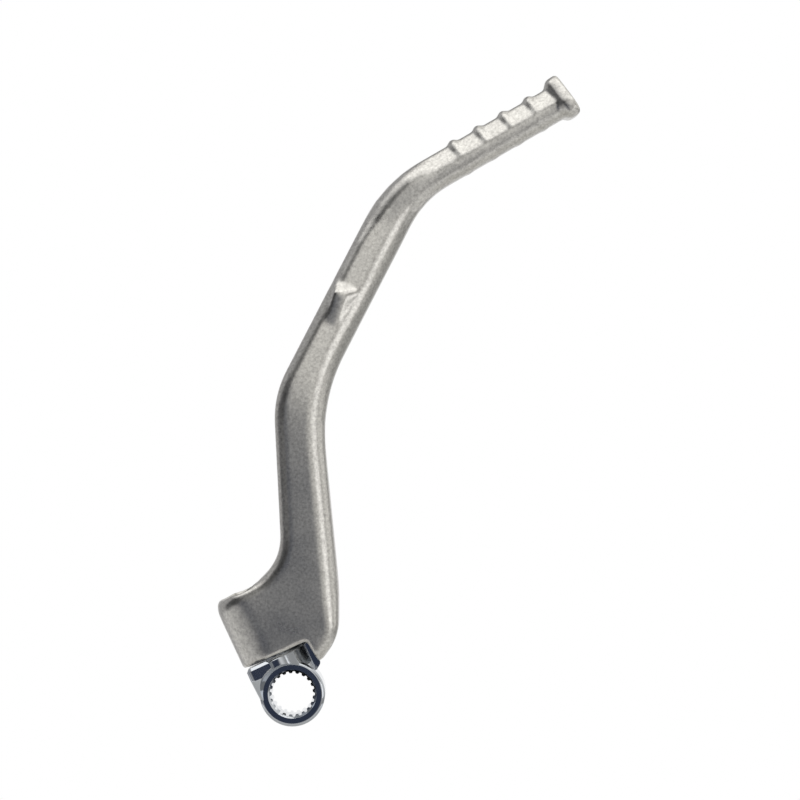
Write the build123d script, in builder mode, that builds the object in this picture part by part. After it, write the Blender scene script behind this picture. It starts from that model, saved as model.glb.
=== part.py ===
from build123d import *
import os
from math import cos, pi, radians, sin, tan

# Kick start lever: a forged aluminium lever that folds on a splined steel knuckle.
# Origin at the centre of the splined bore, +Z up, -Y out from the engine, all sizes in mm.

# Fold axis: it passes through the origin and leans from upright towards the barrel
fold_tilt = 25.0
fold_range = 90.0

# Splined ring of the knuckle, on the kick shaft along Y
spline_teeth = 21
spline_tip_radius = 8.2
spline_root_radius = 9.0
spline_tip_gap = 1.55
spline_root_gap = 0.85
spline_lead_in = 0.7
ring_radius = 13.0
ring_half_width = 9.5
ring_rim_round = 1.4
bolt_face_radius = 11.6
bolt_face_flare = 22.5

# Neck of the knuckle: a turned track with one flat stop pad at each end of the fold
neck_top = 16.4
neck_foot = 2.0
track_radius = 12.0
pad_side = 12.6
pad_step = 2.8
front_pad_nose = 11.0
rear_pad_nose = 5.8
rear_pad_side = 11.0
pad_corner_round = 2.2
pad_nose_round = 2.0
neck_edge_bevel = 1.1

# Pivot shaft, thrust washer and circlip
shaft_radius = 6.5
shaft_top = 43.5
shaft_chamfer = 0.8
pivot_clearance = 0.04
end_play = 0.1
washer_seat = 38.0
washer_radius = 9.3
washer_thickness = 1.2
washer_clearance = 0.15
circlip_thickness = 1.2
circlip_radius = 8.0
circlip_gap = 4.0
lug_radius = 1.5
lug_hole_radius = 0.75
groove_depth = 0.6
groove_clearance = 0.05

# Spring and ball that hold the lever folded or unfolded
ball_radius = 2.0
ball_orbit = 9.15
ball_sink = 0.65
ball_clearance = 0.15
spring_wire_radius = 0.4
spring_seat = 1.95
spring_wire_sides = 8
spring_turns = 4
detent_depth = 13.6

# Heel of the lever: barrel on the fold axis, slot over the knuckle, and the stop ear
slot_gap = 0.4
ear_reach = 14.0
stop_gap = 0.15
ear_draft = 6.0
ear_tip = 7.5
slot_corner_round = 0.8
slot_edge_chamfer = 0.5
barrel_side = 13.8
barrel_top = 46.5
barrel_round = 11.9
heel_half_thickness = 12.0
heel_right = 18.45
ear_outer_lean = 36.6
ear_outer_point = (14.26, 16.8)
counterbore_clearance = 0.3

# Centre line of the lever, seen from the front, and the widths along it
heel_point = (6.7, 50.0)
lower_knee = (1.8, 117.6)
upper_knee = (44.9, 201.9)
heel_width = 21.8
knee_width = 18.7
mid_arm_width = 17.55
pedal_rise = 30.2
pedal_length = 72.0
pedal_crown = 6.35
pedal_belly = 7.65

# Bend radii of the outline, outer and inner side
heel_crook_radius = 20.5
lower_outer_radius = 41.0
lower_inner_radius = 68.0
upper_outer_radius = 55.0
upper_inner_radius = 40.0
heel_right_radius = 120.0
ear_outer_radius = 20.0

# Side view: the arm leans back from the lower knee, and less so from the plateau on
arm_thickness = 16.0
pedal_depth = 15.0
lean_back = 9.0
pedal_lean = 3.0
plateau_start = 78.0
heel_back_end = 62.0
lean_radius = 150.0
plateau_radius = 60.0
edge_round = 4.8

# Pedal: roof-shaped top, ribs across it and a flared end
facet_foot = -0.6
facet_lean = 37.0
facet_foot_round = 3.0
crown_round = 3.6
crown_lift = 0.05
facet_run_out = 45.0
last_rib_gap = 11.0
rib_spacing = 11.67
rib_count = 4
rib_top = 7.75
rib_radius = 2.6
rib_foot = -0.6
rib_sink = 2.75
rib_lean = 29.0
rib_bend = 2.8
swell_height = 0.5
swell_sink = 0.15
swell_half_base = 3.5
knob_beyond = 4.6
knob_length = 8.0
knob_flare = 3.0
knob_tilt = 3.0
knob_crown = 9.2
knob_belly = 9.5
knob_overhang = 2.0
knob_foot = -2.6
knob_lean = 28.0
knob_corner = 4.2
knob_shoulder_round = 2.2
knob_edge_round = 1.4

# Wedge stop on the mid arm: its flat top lies square to the kick shaft
wedge_start = 31.9
wedge_offset = 1.1
wedge_lean = 15.5
wedge_length = 13.9
wedge_width = 5.0
wedge_corner_round = 1.8
wedge_depth = 4.05
wedge_left_slope = 0.9
wedge_right_low = 3.0
wedge_right_high = 8.9
wedge_end_slope = 4.7
wedge_low_slope = 0.5


def crossing(a, b, c, d):
    # the point where the line through a and b meets the line through c and d
    ab = Vector(*b) - Vector(*a)
    cd = Vector(*d) - Vector(*c)
    ac = Vector(*c) - Vector(*a)
    share = (ac.X * cd.Y - ac.Y * cd.X) / (ab.X * cd.Y - ab.Y * cd.X)
    point = Vector(*a) + ab * share
    return (point.X, point.Y)


def beside(start, end, at_start, at_end):
    # the line from start to end, moved to its left by a distance at each end
    along = (Vector(*end) - Vector(*start)).normalized()
    left = Vector(-along.Y, along.X)
    p = Vector(*start) + left * at_start
    q = Vector(*end) + left * at_end
    return (p.X, p.Y), (q.X, q.Y)


def rounded_face(corners):
    # a face from (point, radius) pairs, inside a sketch
    with BuildLine() as rim:
        FilletPolyline(*[p for p, r in corners], radius=[r for p, r in corners], close=True)
    make_face(rim.edges())


# Directions of the fold frame: across the axis to the right, and up the axis
across = Vector(cos(radians(fold_tilt)), 0, sin(radians(fold_tilt)))
up_axis = Vector(-sin(radians(fold_tilt)), 0, cos(radians(fold_tilt)))
fold_axis = Axis((0, 0, 0), up_axis)
fold_plane = Plane(origin=(0, 0, 0), x_dir=across, z_dir=up_axis)
fold_front = Plane(origin=(0, 0, 0), x_dir=across, z_dir=(0, -1, 0))


def fold_point(u, a):
    # a point of the front view given in the fold frame
    return (across.X * u + up_axis.X * a, across.Z * u + up_axis.Z * a)


# Stop faces: the ear's inner wall, and the pads that it lands on, with the same draft
slot_height = neck_top + slot_gap
pad_reach = ear_reach - stop_gap
draft = tan(radians(ear_draft))


def pad_profile(nose, foot_reach):
    # side view of a stop pad: drafted face, nose, and a slope back to the ring
    return [
        ((0, neck_top), 0),
        ((pad_reach + slot_gap * draft, neck_top), 0),
        ((pad_reach + (slot_height - nose) * draft, nose), pad_nose_round),
        ((foot_reach, neck_foot), 0),
        ((0, neck_foot), 0),
    ]


# Knuckle: splined ring, neck with track and stop pads, and pivot shaft, forged as one piece
groove_low = washer_seat + end_play + washer_thickness
ball_height = neck_top - ball_sink + ball_radius
flare = tan(radians(bolt_face_flare))
flare_depth = pad_reach

with BuildPart() as front_pad:
    with BuildSketch(Plane(origin=across * -pad_step, x_dir=(0, -1, 0), z_dir=-across)):
        rounded_face(pad_profile(front_pad_nose, ring_half_width))
    extrude(amount=pad_side - pad_step)
    outer_edges = front_pad.faces().sort_by(Axis((0, 0, 0), -across))[-1].edges()
    fillet(outer_edges.filter_by(lambda e: e.center().Y < -ring_half_width), radius=pad_corner_round)

with BuildPart() as rear_pad:
    with BuildSketch(Plane(origin=(0, rear_pad_side, 0), x_dir=across, z_dir=(0, -1, 0))):
        rounded_face(pad_profile(rear_pad_nose, ring_half_width))
    extrude(amount=rear_pad_side - pad_step)
    outer_edges = rear_pad.faces().sort_by(Axis.Y)[-1].edges()
    corner_edges = outer_edges.filter_by(lambda e: e.center().dot(across) > ring_half_width)
    fillet(corner_edges, radius=pad_corner_round)

with BuildPart() as knuckle:
    with BuildSketch(Plane.XZ):
        Circle(ring_radius)
    extrude(amount=ring_half_width, both=True)
    fillet(knuckle.edges().filter_by(GeomType.CIRCLE), radius=ring_rim_round)
    with BuildSketch(fold_plane.offset(neck_foot)):
        Circle(track_radius)
    extrude(amount=neck_top - neck_foot)
    add(front_pad.part)
    add(rear_pad.part)
    for side in (-1, 1):
        with BuildSketch(Plane.XY):
            face_y = side * ring_half_width
            far_y = side * (ring_half_width + flare_depth)
            with BuildLine():
                Polyline(
                    (0, face_y),
                    (bolt_face_radius, face_y),
                    (bolt_face_radius + flare_depth * flare, far_y),
                    (0, far_y),
                    close=True,
                )
            make_face()
        revolve(axis=Axis.Y, mode=Mode.SUBTRACT)
    top_faces = knuckle.faces().filter_by(lambda f: f.normal_at().dot(up_axis) > 0.999)
    chamfer(top_faces.sort_by(fold_axis)[-1].outer_wire().edges(), length=neck_edge_bevel)
    with BuildSketch(fold_plane.offset(neck_top)):
        Circle(shaft_radius)
    extrude(amount=shaft_top - neck_top)
    chamfer(knuckle.edges().sort_by(fold_axis)[-1], length=shaft_chamfer)
    with BuildSketch(fold_plane.offset(groove_low)):
        Circle(shaft_radius + groove_depth)
        Circle(shaft_radius - groove_depth, mode=Mode.SUBTRACT)
    extrude(amount=circlip_thickness + groove_clearance, mode=Mode.SUBTRACT)
    with BuildSketch(fold_front):
        with Locations((ball_orbit, ball_height)):
            Circle(ball_radius + ball_clearance)
    revolve(axis=-fold_axis, revolution_arc=fold_range, mode=Mode.SUBTRACT)
    with Locations(fold_plane.offset(ball_height)):
        with Locations((ball_orbit, 0), (0, -ball_orbit)):
            Sphere(ball_radius + ball_clearance, mode=Mode.SUBTRACT)
    with BuildSketch(Plane.XZ.offset(-ring_half_width)):
        Circle(spline_tip_radius)
        with PolarLocations(0, spline_teeth):
            Polygon(
                (spline_tip_radius - spline_tip_gap / 2, -spline_tip_gap / 2),
                (spline_tip_radius, -spline_tip_gap / 2),
                (spline_root_radius, -spline_root_gap / 2),
                (spline_root_radius, spline_root_gap / 2),
                (spline_tip_radius, spline_tip_gap / 2),
                (spline_tip_radius - spline_tip_gap / 2, spline_tip_gap / 2),
                align=None,
            )
    extrude(amount=2 * ring_half_width, mode=Mode.SUBTRACT)
    lead_radius = spline_root_radius + spline_lead_in
    for side in (-1, 1):
        with BuildSketch(Plane.XY):
            with BuildLine():
                Polyline(
                    (0, side * ring_half_width),
                    (lead_radius, side * ring_half_width),
                    (0, side * (ring_half_width - lead_radius)),
                    close=True,
                )
            make_face()
        revolve(axis=Axis.Y, mode=Mode.SUBTRACT)
knuckle.part.label = "knuckle"

# Thrust washer, under the circlip on the pivot shaft
with BuildPart() as thrust_washer:
    with BuildSketch(fold_plane.offset(washer_seat + end_play)):
        Circle(washer_radius)
        Circle(shaft_radius + washer_clearance, mode=Mode.SUBTRACT)
    extrude(amount=washer_thickness)
thrust_washer.part.label = "thrust_washer"

# Circlip, sprung into the shaft's groove, with an eye at each end for the pliers
circlip_inner = shaft_radius - groove_depth + groove_clearance
lug_orbit = circlip_radius - lug_radius / 3
lug_angle = (circlip_gap / 2 + lug_radius) / lug_orbit * 180 / pi
with BuildPart() as circlip:
    with BuildSketch(fold_plane.offset(groove_low)):
        Circle(circlip_radius)
        with PolarLocations(lug_orbit, 2, start_angle=-lug_angle, angular_range=4 * lug_angle):
            Circle(lug_radius)
        Circle(circlip_inner, mode=Mode.SUBTRACT)
        with Locations((circlip_radius, 0)):
            Rectangle(circlip_radius, circlip_gap, mode=Mode.SUBTRACT)
        with PolarLocations(lug_orbit, 2, start_angle=-lug_angle, angular_range=4 * lug_angle):
            Circle(lug_hole_radius, mode=Mode.SUBTRACT)
    extrude(amount=circlip_thickness)
circlip.part.label = "circlip"

# Detent ball and the spring behind it
detent_end = slot_height + detent_depth
ball_centre = across * ball_orbit + up_axis * ball_height
with BuildPart() as detent_ball:
    with Locations(Location(ball_centre)):
        Sphere(ball_radius)
detent_ball.part.label = "detent_ball"

spring_radius = ball_radius - ball_clearance - spring_wire_radius
spring_low = ball_height + spring_seat
spring_rise = detent_end - spring_wire_radius - groove_clearance - spring_low
spring_foot = across * ball_orbit + up_axis * spring_low
with BuildPart() as detent_spring:
    with BuildLine() as coil:
        Helix(
            pitch=spring_rise / spring_turns,
            height=spring_rise,
            radius=spring_radius,
            center=spring_foot,
            direction=up_axis,
        )
    with BuildSketch(Plane(origin=coil.line @ 0, z_dir=coil.line % 0)):
        RegularPolygon(spring_wire_radius, spring_wire_sides)
    sweep(is_frenet=True)
detent_spring.part.label = "detent_spring"

# Outline of the lever seen from the front, as corners with their radii
pedal_end = (
    upper_knee[0] + pedal_length * cos(radians(pedal_rise)),
    upper_knee[1] + pedal_length * sin(radians(pedal_rise)),
)
low_left = beside(heel_point, lower_knee, heel_width / 2, knee_width / 2)
low_right = beside(heel_point, lower_knee, -heel_width / 2, -knee_width / 2)
mid_left = beside(lower_knee, upper_knee, mid_arm_width / 2, mid_arm_width / 2)
mid_right = beside(lower_knee, upper_knee, -mid_arm_width / 2, -mid_arm_width / 2)
pedal_top = beside(upper_knee, pedal_end, pedal_crown, pedal_crown)
pedal_under = beside(upper_knee, pedal_end, -pedal_belly, -pedal_belly)
barrel_edge = (fold_point(-barrel_side, ear_tip), fold_point(-barrel_side, barrel_top))
barrel_lid = (fold_point(-barrel_side, barrel_top), fold_point(0, barrel_top))
ear_bottom = (fold_point(-barrel_side, ear_tip), fold_point(0, ear_tip))
heel_side = ((heel_right, 0), (heel_right, barrel_top))
ear_outside = (
    ear_outer_point,
    (
        ear_outer_point[0] + barrel_top * sin(radians(ear_outer_lean)),
        ear_outer_point[1] + barrel_top * cos(radians(ear_outer_lean)),
    ),
)
outline_corners = [
    (barrel_edge[0], 0),
    (barrel_edge[1], 0),
    (crossing(*barrel_lid, *low_left), heel_crook_radius),
    (crossing(*low_left, *mid_left), lower_outer_radius),
    (crossing(*mid_left, *pedal_top), upper_outer_radius),
    (pedal_top[1], 0),
    (pedal_under[1], 0),
    (crossing(*pedal_under, *mid_right), upper_inner_radius),
    (crossing(*mid_right, *low_right), lower_inner_radius),
    (crossing(*low_right, *heel_side), heel_right_radius),
    (crossing(*heel_side, *ear_outside), ear_outer_radius),
    (crossing(*ear_outside, *ear_bottom), 0),
]

# Side view of the lever, measured from the lower knee along the mid arm
mid_along = (Vector(*upper_knee) - Vector(*lower_knee)).normalized()
mid_length = (Vector(*upper_knee) - Vector(*lower_knee)).length
side_reach = mid_length + pedal_length
side_plane = Plane(
    origin=(lower_knee[0], 0, lower_knee[1]),
    x_dir=(mid_along.X, 0, mid_along.Y),
    z_dir=(-mid_along.Y, 0, mid_along.X),
)
front_knee = -heel_half_thickness
front_plateau = front_knee + plateau_start * tan(radians(lean_back))
front_reach = front_plateau + (side_reach - plateau_start) * tan(radians(pedal_lean))
side_corners = [
    ((-side_reach, front_knee), 0),
    ((0, front_knee), lean_radius),
    ((plateau_start, front_plateau), plateau_radius),
    ((side_reach, front_reach), 0),
    ((side_reach, front_reach + pedal_depth), 0),
    ((plateau_start, front_plateau + arm_thickness), plateau_radius + arm_thickness),
    ((0, front_knee + arm_thickness), lean_radius - arm_thickness),
    ((-heel_back_end, heel_half_thickness), lean_radius),
    ((-side_reach, heel_half_thickness), 0),
]

# Pedal frame: sections across the pedal, with x up across it and y out of its front face
pedal_flat = Vector(cos(radians(pedal_rise)), sin(radians(pedal_rise)))
pedal_slope = tan(radians(pedal_lean)) * mid_along.dot(pedal_flat)
pedal_along = Vector(pedal_flat.X, pedal_slope, pedal_flat.Y).normalized()
pedal_up = Vector(-pedal_flat.Y, 0, pedal_flat.X)
front_upper_knee = front_plateau + (mid_length - plateau_start) * tan(radians(pedal_lean))
pedal_base = Vector(upper_knee[0], front_upper_knee, upper_knee[1])
knob_end = pedal_length + knob_beyond
first_rib = pedal_length - last_rib_gap - (rib_count - 1) * rib_spacing


def pedal_section(distance, tilt=0):
    # the plane across the pedal at a distance from the upper knee
    turned = Plane(origin=pedal_base + pedal_along * distance, x_dir=pedal_up, z_dir=pedal_along)
    return turned.rotated((0, -tilt, 0))


# One rib: a round bar bent over the top of the pedal, run out at the foot of each facet
rib_line = rib_top - rib_radius
rib_setback = (rib_line - rib_foot) * tan(radians(rib_lean))
with BuildPart() as rib:
    with BuildLine(Plane.XY) as rib_path:
        FilletPolyline(
            (rib_foot - rib_radius, -rib_sink),
            (rib_foot, -rib_sink),
            (rib_line, -rib_sink - rib_setback),
            (rib_line, rib_sink + rib_setback - pedal_depth),
            (rib_foot, rib_sink - pedal_depth),
            (rib_foot - rib_radius, rib_sink - pedal_depth),
            radius=rib_bend,
        )
    with BuildSketch(Plane(origin=rib_path.line @ 0, z_dir=rib_path.line % 0)):
        Circle(rib_radius)
    sweep()

# The soft swell under each rib
with BuildPart() as swell:
    for step, shrink in ((-swell_half_base, swell_height), (0, 0), (swell_half_base, swell_height)):
        swell_low = pedal_belly + swell_height - swell_sink - shrink
        swell_front = -swell_sink - shrink
        with BuildSketch(Plane.XY.offset(step)):
            rounded_face(
                [
                    ((-swell_low, -swell_front - pedal_depth), edge_round),
                    ((facet_foot - swell_height, -swell_front - pedal_depth), 0),
                    ((facet_foot - swell_height, swell_front), 0),
                    ((-swell_low, swell_front), edge_round),
                ]
            )
    loft(ruled=True)

# Flared end of the pedal
knob_setback = (knob_crown - knob_foot) * tan(radians(knob_lean))
knob_back = -pedal_depth - knob_overhang
with BuildPart() as knob:
    with BuildSketch(Plane.XY):
        rounded_face(
            [
                ((-knob_belly, knob_back), knob_corner),
                ((knob_foot, knob_back), knob_corner),
                ((knob_crown, knob_back + knob_setback), knob_corner),
                ((knob_crown, knob_overhang - knob_setback), knob_corner),
                ((knob_foot, knob_overhang), knob_corner),
                ((-knob_belly, knob_overhang), knob_corner),
            ]
        )
    extrude(amount=knob_length)
    chamfer(knob.faces().sort_by(Axis.Z)[0].edges(), length=knob_flare)
    shoulder = knob.edges().filter_by_position(Axis.Z, knob_flare - 0.01, knob_flare + 0.01)
    fillet(shoulder, radius=knob_shoulder_round)
    fillet(knob.faces().sort_by(Axis.Z)[-1].edges(), radius=knob_edge_round)

# Wedge stop, from its flat top down to a wider foot inside the arm
wedge_side = beside(lower_knee, upper_knee, wedge_offset, wedge_offset)
wedge_low = Vector(*wedge_side[0]) + mid_along * wedge_start
wedge_top_y = front_knee + wedge_start * tan(radians(lean_back))
half_wedge = wedge_width / 2
with BuildPart() as wedge:
    wedge_plane = Plane(
        origin=(wedge_low.X, wedge_top_y, wedge_low.Y),
        x_dir=(cos(radians(wedge_lean)), 0, -sin(radians(wedge_lean))),
        z_dir=(0, -1, 0),
    )
    with BuildSketch(wedge_plane.offset(-wedge_depth)):
        rounded_face(
            [
                ((-half_wedge - wedge_left_slope, -wedge_low_slope), wedge_corner_round),
                ((half_wedge + wedge_right_low, -wedge_low_slope), wedge_corner_round),
                ((half_wedge + wedge_right_high, wedge_length + wedge_end_slope), wedge_corner_round),
                ((-half_wedge - wedge_left_slope, wedge_length + wedge_end_slope), wedge_corner_round),
            ]
        )
    with BuildSketch(wedge_plane):
        rounded_face(
            [
                ((-half_wedge, 0), wedge_corner_round),
                ((half_wedge, 0), wedge_corner_round),
                ((half_wedge, wedge_length), wedge_corner_round),
                ((-half_wedge, wedge_length), wedge_corner_round),
            ]
        )
    loft(ruled=True)

# Lever: outline and side view crossed, edges rounded, then pedal, wedge stop, slot and bores
with BuildPart() as kick_lever:
    with BuildSketch(Plane.XZ):
        rounded_face(outline_corners)
    extrude(amount=2 * arm_thickness, both=True)
    with BuildSketch(side_plane):
        rounded_face(side_corners)
    extrude(amount=side_reach, both=True, mode=Mode.INTERSECT)
    barrel_faces = kick_lever.faces().filter_by(lambda f: f.normal_at().dot(-across) > 0.999)
    fillet(barrel_faces.edges().filter_by(fold_axis), radius=barrel_round)
    pedal_axis = Axis((0, 0, 0), (pedal_flat.X, 0, pedal_flat.Y))
    end_edges = kick_lever.faces().sort_by(pedal_axis)[-1].edges()
    ear_edges = kick_lever.faces().filter_by(lambda f: f.normal_at().dot(-up_axis) > 0.999).edges()
    flanks = kick_lever.faces().filter_by(lambda f: abs(f.normal_at().Y) < 0.01)
    rims = flanks.edges().filter_by(Axis.Y, reverse=True)
    fillet([e for e in rims if e not in end_edges + ear_edges], radius=edge_round)
    lean = tan(radians(facet_lean))
    tool_crown = pedal_crown + crown_lift
    setback = (tool_crown - facet_foot) * lean
    with BuildSketch(pedal_section(-facet_run_out)):
        rounded_face(
            [
                ((facet_foot - pedal_depth / lean, pedal_depth), 0),
                ((tool_crown, -setback), crown_round),
                ((tool_crown, setback - pedal_depth), crown_round),
                ((facet_foot - pedal_depth / lean, -2 * pedal_depth), 0),
                ((2 * pedal_depth, -2 * pedal_depth), 0),
                ((2 * pedal_depth, pedal_depth), 0),
            ]
        )
    extrude(amount=facet_run_out + knob_end - knob_flare, mode=Mode.SUBTRACT)
    long_edges = kick_lever.edges().filter_by(Axis(pedal_base, pedal_along))
    foot_edges = [e for e in long_edges if abs((e.center() - pedal_base).dot(pedal_up) - facet_foot) < 0.2]
    fillet(foot_edges, radius=facet_foot_round)
    stations = [pedal_section(first_rib + rib_spacing * i).location for i in range(rib_count)]
    with Locations(*stations):
        add(swell.part)
        add(rib.part)
    with Locations(pedal_section(knob_end - knob_length, knob_tilt).location):
        add(knob.part)
    add(wedge.part)
    with BuildSketch(fold_front):
        rounded_face(
            [
                ((-barrel_top, -ear_tip), 0),
                ((ear_reach + (slot_height + ear_tip) * draft, -ear_tip), 0),
                ((ear_reach, slot_height), slot_corner_round),
                ((-barrel_top, slot_height), 0),
            ]
        )
    extrude(amount=barrel_top, both=True, mode=Mode.SUBTRACT)
    slot_face = kick_lever.faces().filter_by(lambda f: f.normal_at().dot(up_axis) < -0.999)[0]
    barrel_rim = slot_face.outer_wire().edges().filter_by(lambda e: e.center().dot(across) < washer_radius)
    chamfer(barrel_rim, length=slot_edge_chamfer)
    with BuildSketch(fold_plane.offset(slot_height)):
        Circle(shaft_radius + pivot_clearance)
    extrude(amount=barrel_top, mode=Mode.SUBTRACT)
    with BuildSketch(fold_plane.offset(washer_seat)):
        Circle(washer_radius + counterbore_clearance)
    extrude(amount=barrel_top, mode=Mode.SUBTRACT)
    with BuildSketch(fold_plane.offset(slot_height)):
        with Locations((ball_orbit, 0)):
            Circle(ball_radius + ball_clearance)
    extrude(amount=detent_depth, mode=Mode.SUBTRACT)
kick_lever.part.label = "kick_lever"

os.makedirs("parts", exist_ok=True)
for piece in (kick_lever, knuckle, thrust_washer, circlip, detent_spring, detent_ball):
    export_step(piece.part, f"parts/{piece.part.label}.step")
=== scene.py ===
import math

import bmesh
import bpy
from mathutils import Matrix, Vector


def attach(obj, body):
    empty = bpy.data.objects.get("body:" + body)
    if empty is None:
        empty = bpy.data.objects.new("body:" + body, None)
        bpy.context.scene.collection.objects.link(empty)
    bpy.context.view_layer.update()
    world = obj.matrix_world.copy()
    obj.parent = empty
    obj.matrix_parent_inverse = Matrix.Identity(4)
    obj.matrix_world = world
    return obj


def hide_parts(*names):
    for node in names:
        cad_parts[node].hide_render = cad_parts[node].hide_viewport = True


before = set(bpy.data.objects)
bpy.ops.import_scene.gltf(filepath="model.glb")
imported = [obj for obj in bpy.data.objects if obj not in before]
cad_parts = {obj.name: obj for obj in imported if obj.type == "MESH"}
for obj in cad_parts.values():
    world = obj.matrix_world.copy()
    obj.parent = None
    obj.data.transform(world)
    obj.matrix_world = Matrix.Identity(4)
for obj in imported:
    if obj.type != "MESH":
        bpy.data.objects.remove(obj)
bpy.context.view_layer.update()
scene = bpy.context.scene
scene.view_settings.view_transform = "Standard"
mmPerMetre = 1000.0
fullWhite = (1.0, 1.0, 1.0, 1.0)
print("frame loaded:", ", ".join(sorted(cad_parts)))


def toLinear(hexColour):
    channels = [int(hexColour[place:place + 2], 16) / 255 for place in (1, 3, 5)]
    linear = [c / 12.92 if c <= 0.04045 else ((c + 0.055) / 1.055) ** 2.4 for c in channels]
    return (*linear, 1.0)


def addNode(tree, kind, settings=None, links=None):
    # an input goes by its name or its number; other settings are the node's own
    node = tree.nodes.new(kind)
    for name, value in (settings or {}).items():
        if isinstance(name, int) or name in node.inputs:
            node.inputs[name].default_value = value
        else:
            setattr(node, name, value)
    for name, socket in (links or {}).items():
        tree.links.new(socket, node.inputs[name])
    return node


def newMaterial(name):
    material = bpy.data.materials.new(name)
    material.use_nodes = True
    material.node_tree.nodes.clear()
    return material, material.node_tree


def perMetre(millimetres):
    # a pattern's scale, from its real size
    return mmPerMetre / millimetres


# camera
cameraSettings = {
    "aim": (0.0428, 0.0, 0.1168),     # middle of the photograph, on the lever's mid plane
    "distance": 1.3,
    "frameWidth": 0.320,              # what 800 pixels span at that distance
    "sensor": 36.0,
}


def addCamera(settings):
    data = bpy.data.cameras.new("camera")
    data.sensor_width = settings["sensor"]
    data.lens = settings["sensor"] * settings["distance"] / settings["frameWidth"]
    camera = bpy.data.objects.new("camera", data)
    camera.location = Vector(settings["aim"]) + Vector((0.0, -settings["distance"], 0.0))
    camera.rotation_euler = (math.pi / 2, 0.0, 0.0)   # level, looking along +Y
    scene.collection.objects.link(camera)
    scene.camera = camera


addCamera(cameraSettings)
print("camera set")

# light
studio = {
    # walls of the room from far left to far right, as the share of the way and the colour
    "walls": ((0.0, "#b8b8b9"), (0.26, "#b0b0b2"), (0.4, "#7c7c80"),
              (0.5, "#8c8c8f"), (0.62, "#8e8e90"), (0.75, "#b4b4b2"), (1.0, "#a2a2a0")),
    # round parts of the room: where their middle is, and half angles of the full and the fading part
    "parts": {
        "lit ceiling": {"centre": (0.5, -0.3, 0.8), "core": 63.5, "edge": 75.0, "colour": "#f9f8f5"},
        "right wall": {"centre": (0.76, -0.64, 0.08), "core": 20.0, "edge": 36.0, "colour": "#b4b3b0"},
        "left doorway": {"centre": (-0.6, -0.68, 0.36), "core": 25.0, "edge": 34.0, "colour": "#333437"},
        "left passage": {"centre": (-0.96, -0.27, 0.03), "core": 15.0, "edge": 26.0, "colour": "#58595c"},
        "camera corner": {"centre": (-0.16, -1.0, -0.03), "core": 9.0, "edge": 18.0, "colour": "#3c4354"},
    },
    # white background behind the lever, as metal mirrors it
    "paper": {"centre": (0.0, 1.0, 0.0), "core": 12.0, "edge": 40.0},
}
lamps = {
    "topBox": {"place": (0.0, -0.35, 1.05), "aim": (0.05, 0.0, 0.15),
               "size": (1.7, 0.9), "radiance": 0.63},
    "rightBox": {"place": (0.9, -0.82, 0.03), "aim": (0.05, 0.0, 0.12),
                 "size": (0.7, 0.5), "radiance": 1.15},
}


def nearness(tree, direction, part):
    # 1 in the part's core, fading to 0 at its edge
    towards = addNode(tree, "ShaderNodeVectorMath",
                      {"operation": "DOT_PRODUCT", 1: Vector(part["centre"]).normalized()}, {0: direction})
    share = addNode(tree, "ShaderNodeMapRange",
                    {"interpolation_type": "SMOOTHSTEP",
                     "From Min": math.cos(math.radians(part["edge"])),
                     "From Max": math.cos(math.radians(part["core"]))},
                    {"Value": towards.outputs["Value"]})
    return share.outputs["Result"]


def addWorld(settings):
    world = bpy.data.worlds.new("studio room")
    world.use_nodes = True
    tree = world.node_tree
    tree.nodes.clear()
    direction = addNode(tree, "ShaderNodeTexCoord").outputs["Generated"]
    sides = addNode(tree, "ShaderNodeSeparateXYZ", None, {"Vector": direction})
    across = addNode(tree, "ShaderNodeMapRange", {"From Min": -1.0, "From Max": 1.0},
                     {"Value": sides.outputs["X"]})
    walls = addNode(tree, "ShaderNodeValToRGB", None, {"Fac": across.outputs["Result"]})
    stops = walls.color_ramp.elements
    while len(stops) < len(settings["walls"]):
        stops.new(0.5)
    for stop, (share, colour) in zip(stops, settings["walls"]):
        stop.position = share
        stop.color = toLinear(colour)
    room = walls.outputs["Color"]
    for part in settings["parts"].values():
        mixed = addNode(tree, "ShaderNodeMixRGB", {"Color2": toLinear(part["colour"])},
                        {"Fac": nearness(tree, direction, part), "Color1": room})
        room = mixed.outputs["Color"]
    path = addNode(tree, "ShaderNodeLightPath")
    mirror = addNode(tree, "ShaderNodeMath", {"operation": "MAXIMUM"},
                     {0: path.outputs["Is Glossy Ray"], 1: path.outputs["Is Transmission Ray"]})
    behind = addNode(tree, "ShaderNodeMath", {"operation": "MULTIPLY"},
                     {0: mirror.outputs["Value"], 1: nearness(tree, direction, settings["paper"])})
    white = addNode(tree, "ShaderNodeMath", {"operation": "MAXIMUM"},
                    {0: path.outputs["Is Camera Ray"], 1: behind.outputs["Value"]})
    seen = addNode(tree, "ShaderNodeMixRGB", {"Color2": fullWhite},
                   {"Fac": white.outputs["Value"], "Color1": room})
    background = addNode(tree, "ShaderNodeBackground", {"Strength": 1.0}, {"Color": seen.outputs["Color"]})
    addNode(tree, "ShaderNodeOutputWorld", None, {"Surface": background.outputs["Background"]})
    scene.world = world


def addLamp(name, settings):
    data = bpy.data.lights.new(name, "AREA")
    data.shape = "RECTANGLE"
    data.size, data.size_y = settings["size"]
    data.energy = settings["radiance"] * math.pi * data.size * data.size_y
    lamp = bpy.data.objects.new(name, data)
    lamp.location = settings["place"]
    towards = Vector(settings["aim"]) - Vector(settings["place"])
    lamp.rotation_euler = towards.to_track_quat("-Z", "Y").to_euler()
    lamp.visible_camera = False
    scene.collection.objects.link(lamp)


addWorld(studio)
for lampName, lampSettings in lamps.items():
    addLamp(lampName, lampSettings)
print("light set")

# floor
floorSheet = {
    "height": -0.5,
    "radius": 1.2,
    "corners": 96,
    "colour": "#e4e4e2",
    "fade": (0.7, 1.1),               # from the floor's own colour to the white of the background
}


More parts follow.
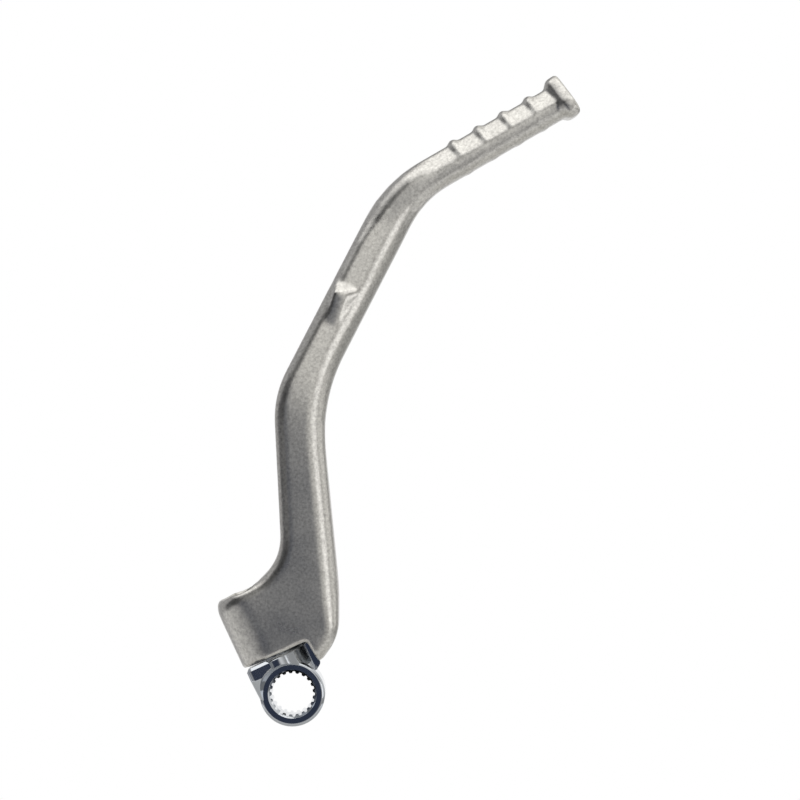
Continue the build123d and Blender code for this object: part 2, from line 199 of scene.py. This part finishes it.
def floorMaterial(settings):
    # matt paper: pale and shadowed under the lever, and lost in the white background further out
    material, tree = newMaterial("matt paper floor")
    place = addNode(tree, "ShaderNodeTexCoord").outputs["Object"]
    level = addNode(tree, "ShaderNodeVectorMath", {"operation": "MULTIPLY", 1: (1.0, 1.0, 0.0)}, {0: place})
    away = addNode(tree, "ShaderNodeVectorMath", {"operation": "LENGTH"}, {0: level.outputs["Vector"]})
    near, far = settings["fade"]
    fade = addNode(tree, "ShaderNodeMapRange",
                   {"interpolation_type": "SMOOTHSTEP", "From Min": near, "From Max": far},
                   {"Value": away.outputs["Value"]})
    path = addNode(tree, "ShaderNodeLightPath")
    mirror = addNode(tree, "ShaderNodeMath", {"operation": "MAXIMUM"},
                     {0: path.outputs["Is Glossy Ray"], 1: path.outputs["Is Transmission Ray"]})
    shown = addNode(tree, "ShaderNodeMath", {"operation": "MAXIMUM"},
                    {0: path.outputs["Is Camera Ray"], 1: mirror.outputs["Value"]})
    white = addNode(tree, "ShaderNodeMath", {"operation": "MULTIPLY"},
                    {0: shown.outputs["Value"], 1: fade.outputs["Result"]})
    paper = addNode(tree, "ShaderNodeBsdfDiffuse", {"Color": toLinear(settings["colour"])})
    glow = addNode(tree, "ShaderNodeEmission", {"Color": fullWhite, "Strength": 1.0})
    mix = addNode(tree, "ShaderNodeMixShader", None,
                  {0: white.outputs["Value"], 1: paper.outputs["BSDF"], 2: glow.outputs["Emission"]})
    addNode(tree, "ShaderNodeOutputMaterial", None, {"Surface": mix.outputs["Shader"]})
    return material


def addFloor(settings):
    mesh = bpy.data.meshes.new("floor")
    build = bmesh.new()
    bmesh.ops.create_circle(build, cap_ends=True, segments=settings["corners"], radius=settings["radius"])
    bmesh.ops.translate(build, verts=build.verts, vec=(0.0, 0.0, settings["height"]))
    build.to_mesh(mesh)
    build.free()
    mesh.materials.append(floorMaterial(settings))
    floor = bpy.data.objects.new("floor", mesh)
    scene.collection.objects.link(floor)


addFloor(floorSheet)
print("floor set")

# materials
noiseSpan = (0.3, 0.7)                # where nearly all of a noise's values lie


def finishMetal(tree, settings, colour, pattern, bump):
    low, high = noiseSpan
    smoothest, roughest = settings["roughness"]
    rough = addNode(tree, "ShaderNodeMapRange",
                    {"From Min": low, "From Max": high, "To Min": smoothest, "To Max": roughest},
                    {"Value": pattern.outputs["Fac"]})
    shader = addNode(tree, "ShaderNodeBsdfPrincipled", {"Metallic": 1.0},
                     {"Base Color": colour.outputs["Color"], "Roughness": rough.outputs["Result"],
                      "Normal": bump.outputs["Normal"]})
    addNode(tree, "ShaderNodeOutputMaterial", None, {"Surface": shader.outputs["BSDF"]})


blastedAluminium = {
    "pale": "#e8e6e1",
    "deep": "#d4d2cd",
    "pit": "#b4b2ae",
    "pitSpan": (0.68, 0.32),          # the grain's values from no pit to a full one
    "roughness": (0.27, 0.35),
    "grain": 1.1,                     # blasted grain in mm, about three times too coarse, so that it shows
    "grainDepth": 0.06,
    "grainBump": 0.35,
    "forging": 16.0,                  # soft hollows that the forging dies leave, in mm
    "forgingDepth": 0.5,
    "forgingBump": 0.25,
    "cloud": 20.0,                    # pale and deep patches, in mm
}


def aluminiumMaterial(settings):
    # forged aluminium, bead blasted: satin silver with a fine dark grain and faint cloudy patches
    material, tree = newMaterial("bead-blasted forged aluminium")
    place = addNode(tree, "ShaderNodeTexCoord").outputs["Object"]
    cloud = addNode(tree, "ShaderNodeTexNoise", {"Scale": perMetre(settings["cloud"]), "Detail": 3.0},
                    {"Vector": place})
    silver = addNode(tree, "ShaderNodeMixRGB",
                     {"Color1": toLinear(settings["deep"]), "Color2": toLinear(settings["pale"])},
                     {"Fac": cloud.outputs["Fac"]})
    grain = addNode(tree, "ShaderNodeTexNoise",
                    {"Scale": perMetre(settings["grain"]), "Detail": 3.0, "Roughness": 0.65},
                    {"Vector": place})
    noPit, fullPit = settings["pitSpan"]
    pits = addNode(tree, "ShaderNodeMapRange", {"From Min": noPit, "From Max": fullPit},
                   {"Value": grain.outputs["Fac"]})
    colour = addNode(tree, "ShaderNodeMixRGB", {"Color2": toLinear(settings["pit"])},
                     {"Fac": pits.outputs["Result"], "Color1": silver.outputs["Color"]})
    forging = addNode(tree, "ShaderNodeTexNoise", {"Scale": perMetre(settings["forging"]), "Detail": 1.0},
                      {"Vector": place})
    hollows = addNode(tree, "ShaderNodeBump",
                      {"Strength": settings["forgingBump"],
                       "Distance": settings["forgingDepth"] / mmPerMetre},
                      {"Height": forging.outputs["Fac"]})
    bump = addNode(tree, "ShaderNodeBump",
                   {"Strength": settings["grainBump"], "Distance": settings["grainDepth"] / mmPerMetre},
                   {"Height": grain.outputs["Fac"], "Normal": hollows.outputs["Normal"]})
    finishMetal(tree, settings, colour, cloud, bump)
    return material


# patches and waves in mm
polishedSteel = {
    "chrome": {"title": "chrome plate on forged steel", "tint": "#c6cacf", "dull": "#b4b8be",
               "roughness": (0.05, 0.11), "patch": 9.0, "wave": 3.0, "waveDepth": 0.02},
    "washer": {"title": "ground washer steel", "tint": "#b9b8b6", "dull": "#a2a19f",
               "roughness": (0.26, 0.4), "patch": 2.0, "wave": 0.6, "waveDepth": 0.02},
    "spring": {"title": "oil-tempered spring steel", "tint": "#6c6b6d", "dull": "#4c4b4d",
               "roughness": (0.28, 0.42), "patch": 1.6, "wave": 0.5, "waveDepth": 0.02},
    "ball": {"title": "lapped ball steel", "tint": "#cfd0d2", "dull": "#c2c3c6",
             "roughness": (0.05, 0.09), "patch": 1.0, "wave": 0.8, "waveDepth": 0.01},
}
steelWaveBump = 0.2


def steelMaterial(settings):
    # plated, ground and lapped steel: clear reflections, broken by slow waves in the surface
    material, tree = newMaterial(settings["title"])
    place = addNode(tree, "ShaderNodeTexCoord").outputs["Object"]
    patch = addNode(tree, "ShaderNodeTexNoise", {"Scale": perMetre(settings["patch"]), "Detail": 2.0},
                    {"Vector": place})
    colour = addNode(tree, "ShaderNodeMixRGB",
                     {"Color1": toLinear(settings["dull"]), "Color2": toLinear(settings["tint"])},
                     {"Fac": patch.outputs["Fac"]})
    wave = addNode(tree, "ShaderNodeTexNoise", {"Scale": perMetre(settings["wave"]), "Detail": 1.0},
                   {"Vector": place})
    bump = addNode(tree, "ShaderNodeBump",
                   {"Strength": steelWaveBump, "Distance": settings["waveDepth"] / mmPerMetre},
                   {"Height": wave.outputs["Fac"]})
    finishMetal(tree, settings, colour, patch, bump)
    return material


pieceMaterials = {
    "forged_aluminium": aluminiumMaterial(blastedAluminium),
    "chrome_plate": steelMaterial(polishedSteel["chrome"]),
    "washer_steel": steelMaterial(polishedSteel["washer"]),
    "spring_steel": steelMaterial(polishedSteel["spring"]),
    "ball_steel": steelMaterial(polishedSteel["ball"]),
}
print("materials made")

# pieces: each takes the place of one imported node; edges past sharpAngle stay crisp, and voxel is in mm
finishedPieces = {
    "lever_forging": {"node": "kick_lever", "body": "lever", "slot": "forged_aluminium",
                      "sharpAngle": 180.0, "voxel": 0.55},
    "knuckle_forging": {"node": "knuckle", "body": "knuckle", "slot": "chrome_plate",
                        "sharpAngle": 24.0},
    "pivot_washer": {"node": "thrust_washer", "body": "knuckle", "slot": "washer_steel",
                     "sharpAngle": 30.0},
    "pivot_circlip": {"node": "circlip", "body": "knuckle", "slot": "spring_steel",
                      "sharpAngle": 30.0},
    "fold_spring": {"node": "detent_spring", "body": "lever", "slot": "spring_steel",
                    "sharpAngle": 60.0},
    "fold_ball": {"node": "detent_ball", "body": "lever", "slot": "ball_steel",
                  "sharpAngle": 60.0},
}
weldDistance = 1e-6                   # in metres


def weldedMesh(name, settings):
    build = bmesh.new()
    build.from_mesh(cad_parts[settings["node"]].data)
    bmesh.ops.remove_doubles(build, verts=build.verts, dist=weldDistance)
    sharp = math.radians(settings["sharpAngle"])
    for face in build.faces:
        face.smooth = True
        face.material_index = 0
    for edge in build.edges:
        edge.smooth = edge.calc_face_angle(0.0) < sharp
    mesh = bpy.data.meshes.new(name)
    build.to_mesh(mesh)
    build.free()
    # normals stored for the loose triangles no longer fit the welded ones
    if "custom_normal" in mesh.attributes:
        mesh.attributes.remove(mesh.attributes["custom_normal"])
    return mesh


# how soft the forging dies left the lever, in smoothing passes: a line runs from (x, z) to (x, z) in mm, and
# its passes fade out at its reach; clear keeps it that far from the mid plane, and so off the pivot bore
forgedSoftness = {
    "factor": 0.5,
    "everywhere": 7,
    "lines": {
        "heel shoulder": {"start": (-26.0, 35.0), "end": (-14.0, 43.0), "reach": 12.0, "passes": 40},
        "barrel side": {"start": (-20.0, 31.0), "end": (-15.0, 19.5), "reach": 8.0, "passes": 110,
                        "clear": 8.0},
        "heel corner": {"start": (-30.3, 33.0), "end": (-27.5, 38.5), "reach": 6.0, "passes": 80},
        "wedge": {"start": (16.0, 151.0), "end": (20.0, 162.0), "reach": 8.0, "passes": 15},
        "wedge flank": {"start": (18.5, 148.5), "end": (24.0, 160.0), "reach": 2.0, "passes": 16},
        "wedge top": {"start": (17.0, 163.0), "end": (22.0, 162.0), "reach": 4.5, "passes": 40},
        "upper crook": {"start": (46.0, 187.0), "end": (56.0, 198.0), "reach": 7.0, "passes": 50},
        "pedal root": {"start": (38.0, 200.0), "end": (54.0, 209.0), "reach": 8.0, "passes": 24},
        "pedal edge": {"start": (48.0, 203.6), "end": (103.0, 234.0), "reach": 3.5, "passes": 14},
    },
}
# front edges that are rounder than the rest, in mm, with the lever on the left of the way along each:
# x, the front face's y, z, the radius there and the share of the rounding that is used
edgeFields = ("x", "front", "z", "radius", "share")
roundEdges = {
    "right of the arm": (
        (18.3, -12.0, 27.0, 4.8, 1.0), (18.45, -12.0, 36.0, 6.4, 1.0), (17.65, -12.0, 50.0, 7.0, 1.0),
        (15.35, -12.0, 74.0, 7.0, 1.0), (13.25, -12.0, 96.0, 7.2, 1.0), (12.95, -11.96, 108.0, 7.6, 1.0),
        (13.67, -11.62, 114.0, 8.0, 1.0), (14.89, -10.97, 120.0, 8.3, 1.0), (16.68, -9.99, 126.0, 8.5, 1.0),
        (19.1, -8.79, 132.0, 8.5, 1.0), (22.09, -7.67, 138.0, 8.5, 1.0), (25.15, -6.61, 144.0, 8.2, 1.0),
        (28.2, -5.53, 150.0, 7.5, 1.0), (34.36, -3.39, 162.0, 7.5, 1.0), (37.42, -2.32, 168.0, 8.2, 1.0),
        (43.56, -0.2, 180.0, 8.0, 1.0), (46.63, 0.54, 186.0, 7.4, 1.0), (50.18, 0.98, 192.0, 6.4, 1.0),
        (55.43, 1.38, 198.0, 4.8, 1.0),
    ),
    "top of the upper knee": (
        (54.65, 1.87, 214.97, 6.8, 0.0), (50.16, 1.61, 212.35, 6.8, 0.7), (43.67, 1.25, 207.9, 6.8, 1.0),
        (37.93, 0.93, 202.67, 7.2, 1.0), (32.94, 0.6, 196.6, 7.2, 1.0), (28.88, 0.08, 189.86, 6.4, 1.0),
        (24.33, -1.44, 180.96, 4.8, 1.0),
    ),
}
edgeMargin = 10.0                     # height in mm past an edge's ends, in which points are looked at
proudLimit = 0.25                     # mm that a point of the edge may stand in front of the front face


def evenSkin(mesh, voxel):
    shell = bpy.data.objects.new("shell", mesh)
    scene.collection.objects.link(shell)
    skin = shell.modifiers.new("even skin", "REMESH")
    skin.mode = "VOXEL"
    skin.voxel_size = voxel / mmPerMetre
    skin.use_smooth_shade = True
    bpy.context.view_layer.update()
    even = bpy.data.meshes.new_from_object(shell.evaluated_get(bpy.context.evaluated_depsgraph_get()))
    bpy.data.objects.remove(shell)
    bpy.data.meshes.remove(mesh)
    return even


def shareAlong(point, start, end):
    return (point - start).dot(end - start) / (end - start).length_squared


def distanceFrom(point, start, end):
    share = min(max(shareAlong(point, start, end), 0.0), 1.0)
    return (point - start.lerp(end, share)).length


def wantedPasses(place, settings):
    point = Vector((place.x, place.z)) * mmPerMetre
    wanted = settings["everywhere"]
    for line in settings["lines"].values():
        if abs(place.y) * mmPerMetre < line.get("clear", 0.0):
            continue
        away = distanceFrom(point, Vector(line["start"]), Vector(line["end"]))
        wanted = max(wanted, line["passes"] * (1.0 - away / line["reach"]))
    return wanted


def edgeStation(point, stations):
    # the nearest place on an edge, and how far inside the edge's line the point is
    nearest = None
    for start, end in zip(stations, stations[1:]):
        foot, head = Vector((start["x"], start["z"])), Vector((end["x"], end["z"]))
        away = distanceFrom(point, foot, head)
        if nearest is None or away < nearest["away"]:
            along = shareAlong(point, foot, head)
            outside = (start is stations[0] and along < 0.0) or (end is stations[-1] and along > 1.0)
            along = min(max(along, 0.0), 1.0)
            inward = Vector((foot.y - head.y, head.x - foot.x)).normalized()
            nearest = {field: start[field] + (end[field] - start[field]) * along
                       for field in ("front", "radius", "share")}
            nearest.update(away=away, outside=outside, inward=inward, inside=(point - foot).dot(inward))
    return nearest


def roundOff(build, stations):
    heights = [station["z"] for station in stations]
    low, high = min(heights) - edgeMargin, max(heights) + edgeMargin
    for vert in build.verts:
        place = vert.co * mmPerMetre
        if not low < place.z < high:
            continue
        station = edgeStation(Vector((place.x, place.z)), stations)
        radius = station["radius"]
        depth = place.y - station["front"]
        spoke = Vector((station["inside"] - radius, depth - radius))   # from the arc's middle to the point
        beyond = station["outside"] or station["away"] > radius or depth < -proudLimit
        if beyond or spoke.x > 0.0 or spoke.y > 0.0:
            continue
        shift = (spoke.normalized() * radius - spoke) * station["share"]
        inward = station["inward"]
        vert.co += Vector((inward.x * shift.x, shift.y, inward.y * shift.x)) / mmPerMetre


def softenForging(mesh, softness, edges):
    build = bmesh.new()
    build.from_mesh(mesh)
    for rows in edges.values():
        roundOff(build, [dict(zip(edgeFields, row)) for row in rows])
    passes = {vert: wantedPasses(vert.co, softness) for vert in build.verts}
    for done in range(math.ceil(max(passes.values()))):
        verts = [vert for vert, wanted in passes.items() if wanted > done]
        bmesh.ops.smooth_vert(build, verts=verts, factor=softness["factor"],
                              use_axis_x=True, use_axis_y=True, use_axis_z=True)
    build.to_mesh(mesh)
    build.free()


def addPiece(name, settings, material):
    mesh = weldedMesh(name, settings)
    if "voxel" in settings:
        mesh = evenSkin(mesh, settings["voxel"])
        mesh.name = name
        softenForging(mesh, forgedSoftness, roundEdges)
    mesh.materials.append(material)
    piece = bpy.data.objects.new(name, mesh)
    scene.collection.objects.link(piece)
    if "voxel" not in settings:
        even = piece.modifiers.new("even normals", "WEIGHTED_NORMAL")
        even.keep_sharp = True
    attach(piece, settings["body"])
    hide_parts(settings["node"])


for pieceName, pieceSettings in finishedPieces.items():
    addPiece(pieceName, pieceSettings, pieceMaterials[pieceSettings["slot"]])
print("pieces made")
